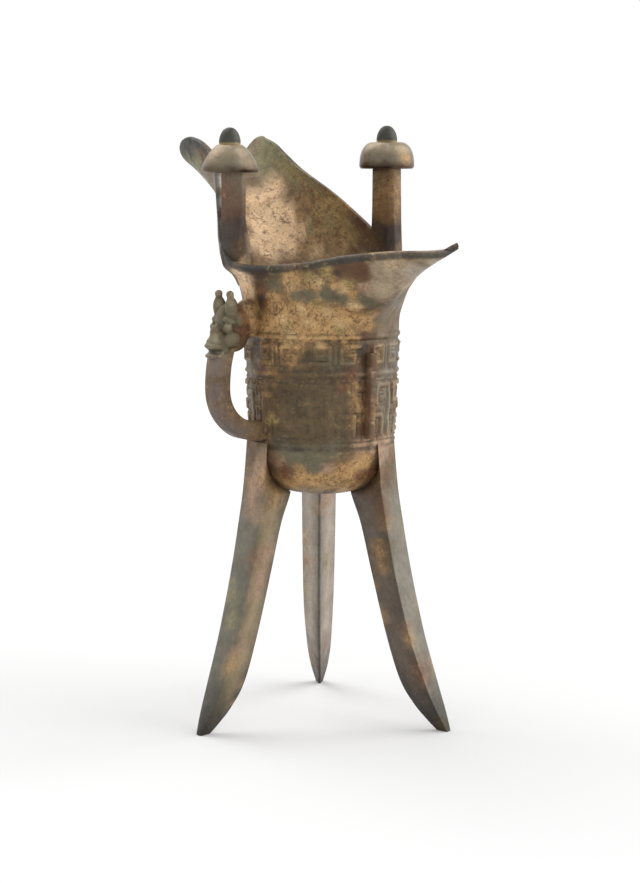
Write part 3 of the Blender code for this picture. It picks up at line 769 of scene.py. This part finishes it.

# patina, with some painted light and shade

# places of the patches about the cup's axis, in millimetres, by colour and reach
areas = {
    "cream": {2: ((17, -23, 149), (26, -19, 149), (34, -13, 148), (18, -20, 141), (25, -13, 140),
        (32, -8, 142), (12, -23, 137), (20, -17, 135), (25, -9, 136), (15, -21, 130), (21, -14, 129),
        (-29, 16, 158))},
    # painted highlights on the head's raised eyes, horns, horn knobs, nostrils and lips
    "lichen": {1: ((-3, -40, 134), (6, -39, 135), (-2, -38, 141), (6, -38, 142), (-3, -38, 145),
        (5, -37, 145), (2, -43, 128), (4, -40, 125)), 2: ((2, -42, 130),)},
    "tan": {5: ((-50, 5, 175), (-42, 2, 166)), 4: ((-42, 10, 171), (-38, 7, 163), (-37, 0, 159),
        (-46, 8, 173), (-1, -29, 148)), 3: ((-50, 10, 179), (-37, -6, 161)), 2: ((-37, 13, 166),
        (-1, -31, 152), (-34, 9, 159))},
    "khaki": {5: ((-62, 14, 192),), 4: ((-56, 16, 189), (-66, 12, 189), (-58, -17, 188), (-65, -14, 187),
        (-56, 14, 188)), 3: ((-61, 14, 192), (-50, 16, 189), (-40, 19, 181), (-45, 17, 186)),
        2: ((-64, 15, 196), (-48, 16, 185), (-53, 14, 185), (-64, -14, 188), (-29, 22, 167), (-33, 17, 165),
        (-6, -33, 49), (-4, -34, 43), (1, -36, 37), (-20, 14, 49))},
    # the sand patches on the tail's underside, near (43 to 64, 0 to -9), are a painted highlight
    "sand": {4: ((49, -7, 153), (54, -5, 154), (50, 0, 149), (43, -4, 147)), 3: ((64, -3, 158),
        (55, -9, 158)), 2: ((-5, -26, 155), (-6, -25, 159), (-5, -26, 163))},
    # the pale patches on the tail's underside, in a strip down the near outer wall of the spout, and the
    # reach-1 spots on the caps are painted highlights
    "pale": {3: ((71, -1, 159),), 4: ((57, -1, 153),), 2: ((64, -1, 157), (-27, -25, 180), (-20, -28, 174),
        (-15, -31, 167), (-15, -31, 160), (-59, -14, 185), (-53, -14, 181)), 1: ((-4, -33, 192),
        (-1, 27, 193))},
    "crust": {5: ((18, -19, 138), (23, -14, 137)), 4: ((27, -8, 138), (10, -24, 136), (17, -19, 130),
        (22, -13, 131), (21, -5, 86)), 3: ((4, -26, 132), (17, -23, 148), (12, -24, 142), (11, -23, 130),
        (25, -5, 131), (28, -1, 136), (13, -17, 85), (16, -12, 84), (23, 1, 90), (7, -20, 78), (9, -19, 80),
        (18, -1, 80), (17, 0, 84)), 2: ((31, -15, 149), (25, -19, 148), (35, -10, 146), (-1, -28, 144),
        (3, -29, 140), (4, -30, 137), (19, -8, 84), (5, -26, 86))},
    "gold": {2: ((32, -18, 153), (-46, 16, 184), (25, -20, 151), (34, -13, 149), (7, -24, 104),
        (25, -16, 142), (13, -22, 134), (25, -9, 134)), 1: ((-42, 17, 182),), 4: ((-29, 22, 170),),
        3: ((-22, 26, 163), (-33, 21, 173))},
    "earth": {6: ((-5, 29, 178),), 5: ((-5, 29, 180), (-5, 29, 173)), 4: ((-32, 20, 171), (-31, 18, 162),
        (-27, 22, 164)), 3: ((-32, 13, 158), (-24, 23, 158), (7, -24, 118), (15, -21, 125), (-5, 29, 185),
        (-38, 17, 173), (-25, 25, 172)), 2: ((23, -23, 155), (26, -5, 133), (6, -25, 112), (25, -3, 109),
        (25, -3, 104), (25, -4, 115), (26, -3, 125), (7, -24, 124), (25, 6, 126), (-4, 33, 173),
        (-41, 17, 177), (-38, 14, 170), (-35, 17, 169), (-27, 24, 175), (-32, 22, 176), (22, 9, 60),
        (23, 9, 54)), 1: ((32, 15, 21), (33, 17, 14))},
    "rust": {4: ((-8, -32, 181), (-8, -32, 175)), 2: ((-38, 19, 179), (-40, 18, 181), (6, -27, 146),
        (7, -26, 142), (4, -32, 137), (4, -33, 133), (3, -25, 121), (25, -5, 119), (-8, -31, 182),
        (-8, -31, 177), (-6, -31, 179), (24, -7, 116), (10, -19, 86), (21, 2, 84), (25, 1, 125), (19, 0, 82),
        (21, 6, 87)), 3: ((-5, 29, 178),), 1: ((19, -17, 134),)},
    # the column of bark at (26 to 27, 1) runs down the flange's side towards the handle: painted shade beside
    # the flange
    "bark": {3: ((39, -15, 154), (41, -12, 153), (-8, -31, 171), (25, 9, 75)), 2: ((7, -30, 153),
        (5, -28, 148), (26, 1, 124), (27, 1, 121), (27, 1, 118), (27, 1, 115), (27, 1, 112), (27, 1, 109),
        (27, 1, 106), (27, 1, 103), (26, 1, 100), (26, 1, 132), (22, 12, 83), (-21, 26, 163), (-18, 28, 161),
        (-20, 27, 166), (-20, 25, 158)), 4: ((-5, 29, 171),), 1: ((-2, -30, 170), (-2, -30, 162),
        (26, 1, 119), (26, 1, 115), (26, 1, 111), (26, 1, 107), (26, 1, 103), (13, -22, 131),
        (24, -9, 130))},
    # the umber spots of reach 1 at the head's front, between its eyes, nostrils and horns and in its mouth,
    # are painted shade in its recesses
    "umber": {1: ((3, -39, 139), (3, -41, 132), (2, -43, 127), (14, -23, 143), (21, 6, 87), (1, -26, 128),
        (5, -28, 148), (26, 1, 128)), 2: ((6, -27, 143), (34, -16, 152), (0, -35, 185), (0, 26, 187)),
        5: ((-8, -32, 166), (-8, -32, 158), (-5, 29, 164)), 4: ((-5, 29, 164),), 3: ((-5, 29, 159),
        (-7, -32, 166), (-7, -32, 161))},
    "olive": {6: ((21, -14, 115), (16, -19, 108), (21, -12, 105)), 4: ((12, -22, 110), (22, -11, 99),
        (22, -15, 126)), 3: ((23, -8, 111), (10, -23, 100), (24, -10, 127)), 5: ((16, -18, 100),),
        2: ((20, -15, 120), (16, -20, 119), (19, -17, 127)), 1: ((3, -42, 118),)},
    "green": {4: ((14, -19, 93), (18, -15, 91)), 3: ((8, -22, 95), (21, -10, 95), (27, -16, 145)),
        2: ((22, -19, 145), (31, -12, 144), (18, -21, 145), (35, -8, 144), (36, -4, 142), (22, -14, 123),
        (24, -10, 123), (35, 6, 143)), 1: ((25, -5, 123),)},
    "stone": {9: ((-8, -31, 188), (-8, 31, 189)), 4: ((-52, -19, 184), (-1, -35, 189), (0, 26, 190)),
        3: ((23, 11, 126), (23, 11, 119), (23, 11, 110), (22, 12, 102)), 2: ((16, 20, 125), (-6, -25, 121),
        (-5, -25, 114), (-4, -25, 108), (20, 16, 131), (-2, -37, 186), (1, -32, 187), (-3, 23, 188),
        (1, 30, 188), (18, 17, 86), (20, 17, 74))},
    "clay": {2: ((23, 5, 94), (24, 8, 90), (39, -9, 148), (2, -26, 87), (-1, -27, 83), (-4, 33, 181),
        (24, -1, 96), (19, -11, 88), (4, -27, 46), (4, -34, 31), (5, -36, 26), (-25, 9, 58), (-28, 10, 49)),
        3: ((21, 11, 95), (3, -26, 92), (3, -23, 60), (4, -26, 52), (-15, 12, 72)), 1: ((28, 2, 119),
        (28, 2, 111), (27, 3, 104)), 4: ((1, -28, 82), (2, -30, 76))},
    # the slate on the near lobe of the spout is painted shade, and so are the two small slate spots in the
    # head's mouth; on the knobs slate is their own colour
    "slate": {5: ((-64, -15, 192),), 4: ((-58, -17, 192), (-64, -14, 195), (-8, -31, 197), (-8, 31, 198)),
        3: ((-57, -16, 196), (-70, -12, 191), (-59, -17, 195), (-6, -32, 196), (-5, 29, 198)),
        2: ((-65, -16, 193), (-53, -18, 194)), 1: ((0, -43, 127), (3, -41, 127), (75, 0, 161))},
    "moss": {3: ((-3, -40, 133), (3, -39, 137), (6, -39, 133), (2, -43, 129)), 2: ((-2, -38, 140),
        (6, -38, 141), (4, -39, 129), (-3, -37, 144))},
    "mauve": {3: ((2, -43, 121), (2, -43, 113), (1, -41, 106), (2, -38, 101)), 2: ((3, -33, 100),)},
    "drab": {3: ((30, 5, 139), (26, 7, 134), (5, -23, 79)), 2: ((24, 12, 136), (21, 15, 131))},
}

patinaAndLight = {
    "palette": {  # corrosion products and earth left on the bronze; some of their patches are painted light and shade, noted where they are placed
        "tan": "#DFBD95", "khaki": "#807A57", "sand": "#A6957C", "pale": "#A89F93", "crust": "#B08A58",
        "gold": "#9A8450", "earth": "#86673F", "rust": "#6B4329", "bark": "#543720", "umber": "#30241A",
        "olive": "#57472B", "green": "#5C5844", "stone": "#6F6655", "clay": "#9A7D64", "slate": "#2C2D29",
        "moss": "#57503A", "mauve": "#5C5048", "drab": "#6C5C44", "brown": "#624C33",
        "cream": "#C4A678", "lichen": "#8B8468", "pitch": "#151510",
    },
    "crusty": {  # how broken and speckled each crusted colour is
        "tan": 0.95, "crust": 1.0, "gold": 0.9, "earth": 0.9, "rust": 0.7, "sand": 0.4, "khaki": 0.45,
        "green": 0.25, "olive": 0.3, "clay": 0.4, "cream": 0.7,
    },
    "baseWeight": 0.045,  # of the plain bronze against the patches
    "baseCrust": (0.6, 0.5),  # its crust, and how much of that the legs and posts lack
    "warp": ((0.11, 2.4), (0.4, 1.3), (1.1, 0.5)),  # turns per millimetre, and millimetres moved
    "sharpness": 1.7,
    "rimLine": (1.1, 2.0, 0.85),  # dark line along the lip: where it is full and ends, and its share
    # where legs and posts start: heights, then distances along and across
    "onLegs": (84, 74),
    "onPosts": ((160, 168), (13, 10), (18, 22)),
    "postPlace": -8,
    # outer face and inner faces of each leg, in the order of the legs: patina with painted light and shade,
    # one face painted lit and the other shaded
    "legs": (("#615D4F", "#877759"), ("#6F695C", "#5A4D40"), ("#857D6F", "#9B8E7F")),
    "legLines": (0.75, 0.35),  # darkness of the ridge, and of the painted shade along the outer face's edge
    "tips": (26.0, 1.0, 0.9),  # heights between which the tips turn dark, and how far
    "scatter": 110,  # smaller patches thrown over the whole vessel
    "scatterShares": {
        "crust": 0.26, "olive": 0.2, "rust": 0.12, "green": 0.12, "clay": 0.06, "umber": 0.1, "stone": 0.08,
        "earth": 0.06,
    },
    "scatterReach": (1.5, 5),
    "scatterStrength": (0.05, 0.22),  # on the legs and above them
    "seed": 7,
    "shadeUnderCaps": (14, 0.2, 1.8),  # painted shade round each cap's lower edge, as dark patches: number, depth below it, reach
    "caps": (  # colour, share, and heights over the knob's foot from none to full: sand is a painted highlight towards the top, umber painted shade at the lower edge, gold the ring and slate the knob
        ("sand", 0.35, -5, -2), ("umber", 0.7, -5.5, -9), ("gold", 0.6, -0.9, -0.3),
        ("slate", 0.95, 0.1, 0.6),
    ),
    "capStart": (-9.6, -9.1),
    "knobDull": (0.8, 0.1, 0.6),  # how much duller the knobs are, and from where
    "relief": (94, 132.5, 1.3),  # heights, and distance off the plain wall, of the cast lines
    "reliefLimits": (0.42, -0.4, 0.6),  # how proud is neither hollow nor rubbed, and how far each goes
    "head": ((-33, -36), (117, 121)),
    "headHighlightAndShade": (-7, -0.17, 0.6),  # painted highlights on its ridges and painted shade in its hollows: contrast, and how far each goes
}


def pointsOf(piece):
    # its points about the cup's axis, in millimetres
    points = np.empty(len(piece.data.vertices) * 3)
    piece.data.vertices.foreach_get("co", points)
    return points.reshape(-1, 3) / mm - cupAxis


def warped(points):
    # places pushed about, so that the patches' borders come out ragged, the same way each run
    noise.seed_set(patinaAndLight["seed"])
    moved = np.array(points, float)
    for scale, reach in patinaAndLight["warp"]:
        moved += np.array([noise.noise_vector(Vector(point) * scale) for point in points]) * reach
    return moved


def flat(colour):
    return np.array(linear(colour)[:3])


def legShades(points):
    # base colours of the three legs, with painted light and shade: a flat outer face each, and inner faces
    # that meet in a ridge
    stations = np.array(legs["stations"])
    heights = points[:, 2]
    radii = np.interp(heights, stations[:, 0], stations[:, 1])
    shades = np.zeros((len(points), 3))
    dark = flat(patinaAndLight["palette"]["slate"])
    ridgeShare, seamShare = patinaAndLight["legLines"]
    for (angle, footShift, shift, *others), pair in zip(legs["standing"], patinaAndLight["legs"]):
        (outX, outY, _), _ = directions(angle)
        along = points[:, 0] * outX + points[:, 1] * outY
        moved = footShift + (shift - footShift) * np.minimum(heights / legs["shiftHeight"], 1)
        deep = radii + moved - along
        outer = smooth(0.45, 0.15, deep)[:, None]
        face, inner = (flat(colour) for colour in pair)
        # one lit and one shaded colour for each leg's faces: painted light and shade over the patina
        shade = face * outer + inner * (1 - outer)
        aside = np.abs(points[:, 1] * outX - points[:, 0] * outY - others[1])
        ridge = (smooth(0.9, 0.4, aside) * smooth(2, 4, deep))[:, None]
        # painted shade: a dark line just past the outer face's edge
        seam = (smooth(0.2, 0.5, deep) * smooth(2.2, 1.2, deep))[:, None]
        for line in (ridgeShare * ridge, seamShare * seam):
            shade = shade * (1 - line) + dark * line
        own = along > 0.5 * np.hypot(points[:, 0], points[:, 1])
        shades[own] = shade[own]
    high, low, most = patinaAndLight["tips"]
    tip = most * smooth(high, low, heights)[:, None]
    return shades * (1 - tip) + flat(patinaAndLight["palette"]["pitch"]) * tip


def addNumbers(piece, name, numbers):
    # one number for each point, for the material to read
    piece.data.attributes.new(name, "FLOAT", "POINT").data.foreach_set("value", numbers)


def bulges(piece, points):
    # how far each point stands out among its neighbours: above 0 on ridges, below 0 in hollows
    edges = np.empty(len(piece.data.edges) * 2, dtype=np.int32)
    piece.data.edges.foreach_get("vertices", edges)
    starts, ends = np.concatenate([edges.reshape(-1, 2), edges.reshape(-1, 2)[:, ::-1]]).T
    normals = np.empty(len(points) * 3)
    piece.data.vertices.foreach_get("normal", normals)
    steps = points[starts] - points[ends]
    lengths = np.maximum(np.linalg.norm(steps, axis=1), 1e-6)
    shares = np.maximum(np.bincount(starts, minlength=len(points)), 1)
    rises = (steps * normals.reshape(-1, 3)[starts]).sum(axis=1) / lengths
    values = np.bincount(starts, rises, len(points)) / shares
    for step in range(3):
        values = 0.5 * values + 0.5 * np.bincount(starts, values[ends], len(points)) / shares
    return values


def patches():
    # every patch as colour, place and reach, and strength: the named areas, the scattered ones, then the dark
    # patches of painted shade under the caps
    rows = []
    for name, groups in areas.items():
        rows += [(name, (*place, reach), 1.0) for reach, places in groups.items() for place in places]
    dice = np.random.default_rng(patinaAndLight["seed"])
    names, chances = zip(*patinaAndLight["scatterShares"].items())
    points = pointsOf(jue)
    for target in dice.uniform(points.min(axis=0), points.max(axis=0), (patinaAndLight["scatter"], 3)):
        place = points[np.argmin(np.linalg.norm(points - target, axis=1))]
        name = names[dice.choice(len(names), p=chances)]
        strength = patinaAndLight["scatterStrength"][int(place[2] > patinaAndLight["onLegs"][0])]
        rows.append((name, (*place, dice.uniform(*patinaAndLight["scatterReach"])), strength))
    # dark bark patches round each cap's lower edge: painted shade
    count, below, reach = patinaAndLight["shadeUnderCaps"]
    for side, place, top, *rest in posts["standing"]:
        height = top - posts["knobHeight"] - posts["capHeight"] - below
        for turn in np.linspace(0, math.tau, count):
            x = place[0] + posts["capRadius"] * math.cos(turn)
            y = place[1] + posts["capRadius"] * math.sin(turn)
            rows.append(("bark", (x, y, height, reach), 1.0))
    return rows


def paintPatinaAndLight(piece):
    # one colour for each point: what lies nearest wins, with ragged borders
    points = pointsOf(piece)
    count = len(points)
    placed = warped(points)
    colours = {name: flat(colour) for name, colour in patinaAndLight["palette"].items()}
    upward, along, across = patinaAndLight["onPosts"]
    onLegs = smooth(*patinaAndLight["onLegs"], placed[:, 2])[:, None]
    onPosts = smooth(*upward, placed[:, 2]) * smooth(*along, np.abs(placed[:, 0] - patinaAndLight["postPlace"]))
    onPosts = (onPosts * smooth(*across, np.abs(placed[:, 1])))[:, None]
    base = colours["brown"] * (1 - onLegs) + legShades(points) * onLegs
    base = base * (1 - onPosts) + colours["bark"] * onPosts
    total = np.full((count, 1), patinaAndLight["baseWeight"])
    mixed = base * total
    crust, less = patinaAndLight["baseCrust"]
    crusted = total * (crust - less * np.maximum(onLegs, onPosts))
    rows = patches()
    middles = warped([area[:3] for name, area, strength in rows])
    for (name, area, strength), middle in zip(rows, middles):
        away = np.linalg.norm(placed - middle, axis=1, keepdims=True) / area[3]
        weight = strength * np.exp(-np.minimum(away, 6) ** 2) ** patinaAndLight["sharpness"]
        mixed += colours[name] * weight
        crusted = crusted + weight * patinaAndLight["crusty"].get(name, 0)
        total += weight
    colour = mixed / total
    lip = kdtree.KDTree(len(outside[-1]))
    for number, point in enumerate(outside[-1]):
        lip.insert(point, number)
    lip.balance()
    fromLip = np.array([lip.find(point)[2] for point in points])
    full, ended, most = patinaAndLight["rimLine"]
    dark = smooth(ended, full, fromLip)[:, None]
    colour = colour * (1 - most * dark) + colours["slate"] * most * dark
    addNumbers(piece, "crust", (crusted / total)[:, 0])
    polish = np.zeros(count)
    dull, *knob = patinaAndLight["knobDull"]
    for side, place, top, *rest in posts["standing"]:
        # the caps get a painted highlight, pale towards the top, and painted shade at their lower edges; the
        # knobs stay dark
        over = np.hypot(points[:, 0] - place[0], points[:, 1] - place[1]) < posts["capRadius"] + 1
        up = points[:, 2] - top + posts["knobHeight"]
        onCap = smooth(*patinaAndLight["capStart"], up)
        for name, most, low, high in patinaAndLight["caps"]:
            share = (most * smooth(low, high, up) * over * onCap)[:, None]
            colour = colour * (1 - share) + colours[name] * share
        polish += over * onCap * (1 - dull * smooth(*knob, up))
    addNumbers(piece, "polish", polish)
    # the colour layer: patina, with painted highlights and painted shade in places
    layer = piece.data.color_attributes.new("patinaAndLight", "FLOAT_COLOR", "POINT")
    layer.data.foreach_set("color", np.concatenate([colour, np.ones((count, 1))], axis=1).ravel())
    # crust gathers in the hollows of the frieze, and its raised lines are rubbed; the head's hollows get
    # painted shade and its ridges painted highlights
    low, high, near = patinaAndLight["relief"]
    x, y, heights = points.T
    plain = np.interp(heights, [row[1] for row in wall["outline"]], [row[0] for row in wall["outline"]])
    banded = (heights > low) & (heights < high) & (np.abs(np.hypot(x, y) - plain) < near)
    turned = np.degrees(np.arctan2(y, x)) % 360
    run = np.radians(turned) * frieze["radius"]
    hollow = np.zeros(count)
    raised = reliefHeight(run[banded], heights[banded]) * wear(turned[banded], heights[banded])
    middle, *limits = patinaAndLight["reliefLimits"]
    hollow[banded] = np.clip(middle - raised, *limits)
    # painted shade in the head's hollows and painted highlights on its ridges, by how far each point stands
    # out
    behind, upward = patinaAndLight["head"]
    onHead = smooth(*behind, y) * smooth(*upward, heights)
    contrast, *limits = patinaAndLight["headHighlightAndShade"]
    hollow += onHead * np.clip(contrast * bulges(piece, points), *limits)
    addNumbers(piece, "hollow", hollow)


bronze = {
    # size in millimetres, detail and roughness, then low and high and what they turn into
    "noises": {
        "broad": (7.0, 4.0, 0.6, 0.3, 0.7, 0.82, 1.2), "fine": (1.3, 5.0, 0.7, 0.3, 0.7, 0.86, 1.16),
        "rusty": (3.6, 6.0, 0.7, 0.57, 0.62, 0.0, 0.5), "cracked": (6.0, 4.0, 0.6, 0.46, 0.58, 0.0, 1.0),
        "pits": (0.8, 3.0, 0.6, 0.58, 0.66, 0.0, 0.7), "flecks": (0.7, 2.0, 0.5, 0.66, 0.74, 0.0, 0.45),
        "kept": (5.0, 5.0, 0.7, 0.44, 0.6, 0.25, 1.0), "gloss": (4.0, 4.0, 0.6, 0.35, 0.65, 0.42, 0.68),
    },
    "broken": (2.4, 9.0, 0.78),  # one noise for the crust's dark and light parts
    "dark": (0.53, 0.6, 0.0, 0.62),
    "light": (0.46, 0.39, 0.0, 0.5),
    "cracks": (0.07, 0.02, 0.0, 0.75),
    "crackSize": 3.4,
    "crackBend": (3.0, 3.0, 0.0025),  # size, detail and strength
    "grooves": (0.08, 0.42, 0.0, 0.8),  # how hollow, and the darkness there: crust in the frieze, painted shade in the head's hollows
    # lighter where raised: rubbed lines in the frieze, painted highlights on the head's ridges
    "rubbed": (-0.05, -0.35, 0.0, 0.3),
    "handled": (0, 1, 1.0, 0.62),  # roughness and bare metal of the caps
    "bare": (0, 1, 0.25, 0.6),
    "coarse": ((2.2, 4.0, 0.6), 0.35, 0.0004),  # bumps: noise, strength, and depth in metres
    "grain": ((0.5, 4.0, 0.6), 0.4, 0.00012),
    "colours": {
        "dark": "#4A3620", "light": "#C4A36C", "rusty": "#7C4A28", "cracks": "#4A3620", "pits": "#33251A",
        "flecks": "#D2BF97", "grooves": "#33291B", "rubbed": "#A4967A",
    },
}


def patinatedBronze():
    # tin bronze, piece-mould cast and long buried: dull copper-salt and earth crusts over brown oxide
    material = bpy.data.materials.new("buried tin bronze")
    material.use_nodes = True
    tree = material.node_tree
    shader = tree.nodes["Principled BSDF"]
    place = addNode(tree, "ShaderNodeTexCoord").outputs["Object"]

    def painted(name, output="Fac"):
        return addNode(tree, "ShaderNodeAttribute", {"attribute_name": name}).outputs[output]

    def pattern(size, detail, rough):
        # noise whose patches are size millimetres across
        sockets = {"Scale": 1 / (size * mm), "Detail": detail, "Roughness": rough}
        return addNode(tree, "ShaderNodeTexNoise", None, sockets, {"Vector": place}).outputs["Fac"]

    def ramp(source, limits):
        sockets = dict(zip(("From Min", "From Max", "To Min", "To Max"), limits))
        return addNode(tree, "ShaderNodeMapRange", None, sockets, {"Value": source}).outputs["Result"]

    def ranged(name):
        row = bronze["noises"][name]
        return ramp(pattern(*row[:3]), row[3:])

    def blend(mode, factor, first, second):
        node = addNode(tree, "ShaderNodeMix", {"data_type": "RGBA", "blend_type": mode})
        for socket, value in ((node.inputs[0], factor), (node.inputs[6], first), (node.inputs[7], second)):
            if isinstance(value, bpy.types.NodeSocket):
                tree.links.new(value, socket)
            else:
                socket.default_value = value
        return node.outputs[2]

    def over(shade, factor, name):
        return blend("MIX", factor, shade, linear(bronze["colours"][name]))

    def times(first, second):
        links = {0: first, 1: second}
        return addNode(tree, "ShaderNodeMath", {"operation": "MULTIPLY"}, None, links).outputs[0]

    def bump(name, links):
        noise, strength, depth = bronze[name]
        sockets = {"Strength": strength, "Distance": depth}
        links["Height"] = pattern(*noise)
        return addNode(tree, "ShaderNodeBump", None, sockets, links).outputs["Normal"]

    crust, hollow, polish = painted("crust"), painted("hollow"), painted("polish")
    shade = blend("MULTIPLY", 1.0, painted("patinaAndLight", "Color"), times(ranged("broad"), ranged("fine")))
    broken = pattern(*bronze["broken"])
    for name in ("dark", "light"):
        shade = over(shade, times(ramp(broken, bronze[name]), crust), name)
    shade = over(shade, times(ranged("rusty"), crust), "rusty")
    size, detail, strength = bronze["crackBend"]
    sockets = {"Scale": 1 / (size * mm), "Detail": detail}
    bent = addNode(tree, "ShaderNodeTexNoise", None, sockets, {"Vector": place})
    bent = blend("LINEAR_LIGHT", strength, place, bent.outputs["Color"])
    sockets = {"Scale": 1 / (bronze["crackSize"] * mm)}
    cracks = addNode(tree, "ShaderNodeTexVoronoi", {"feature": "DISTANCE_TO_EDGE"}, sockets, {"Vector": bent})
    cracks = ramp(cracks.outputs["Distance"], bronze["cracks"])
    shade = over(shade, times(cracks, times(ranged("cracked"), crust)), "cracks")
    for name in ("pits", "flecks"):
        shade = over(shade, times(ranged(name), crust), name)
    # darker in hollows and lighter where raised: crust and rubbing in the frieze, painted shade and
    # highlights on the head
    shade = over(shade, times(ramp(hollow, bronze["grooves"]), ranged("kept")), "grooves")
    shade = over(shade, ramp(hollow, bronze["rubbed"]), "rubbed")
    tree.links.new(shade, shader.inputs["Base Color"])
    rough = times(ranged("gloss"), ramp(polish, bronze["handled"]))
    tree.links.new(rough, shader.inputs["Roughness"])
    tree.links.new(ramp(polish, bronze["bare"]), shader.inputs["Metallic"])
    tree.links.new(bump("grain", {"Normal": bump("coarse", {})}), shader.inputs["Normal"])
    return material


paintPatinaAndLight(jue)
jue.data.materials.clear()
jue.data.materials.append(patinatedBronze())
print("patina painted")

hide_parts("jue_vessel")
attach(jue, "root")
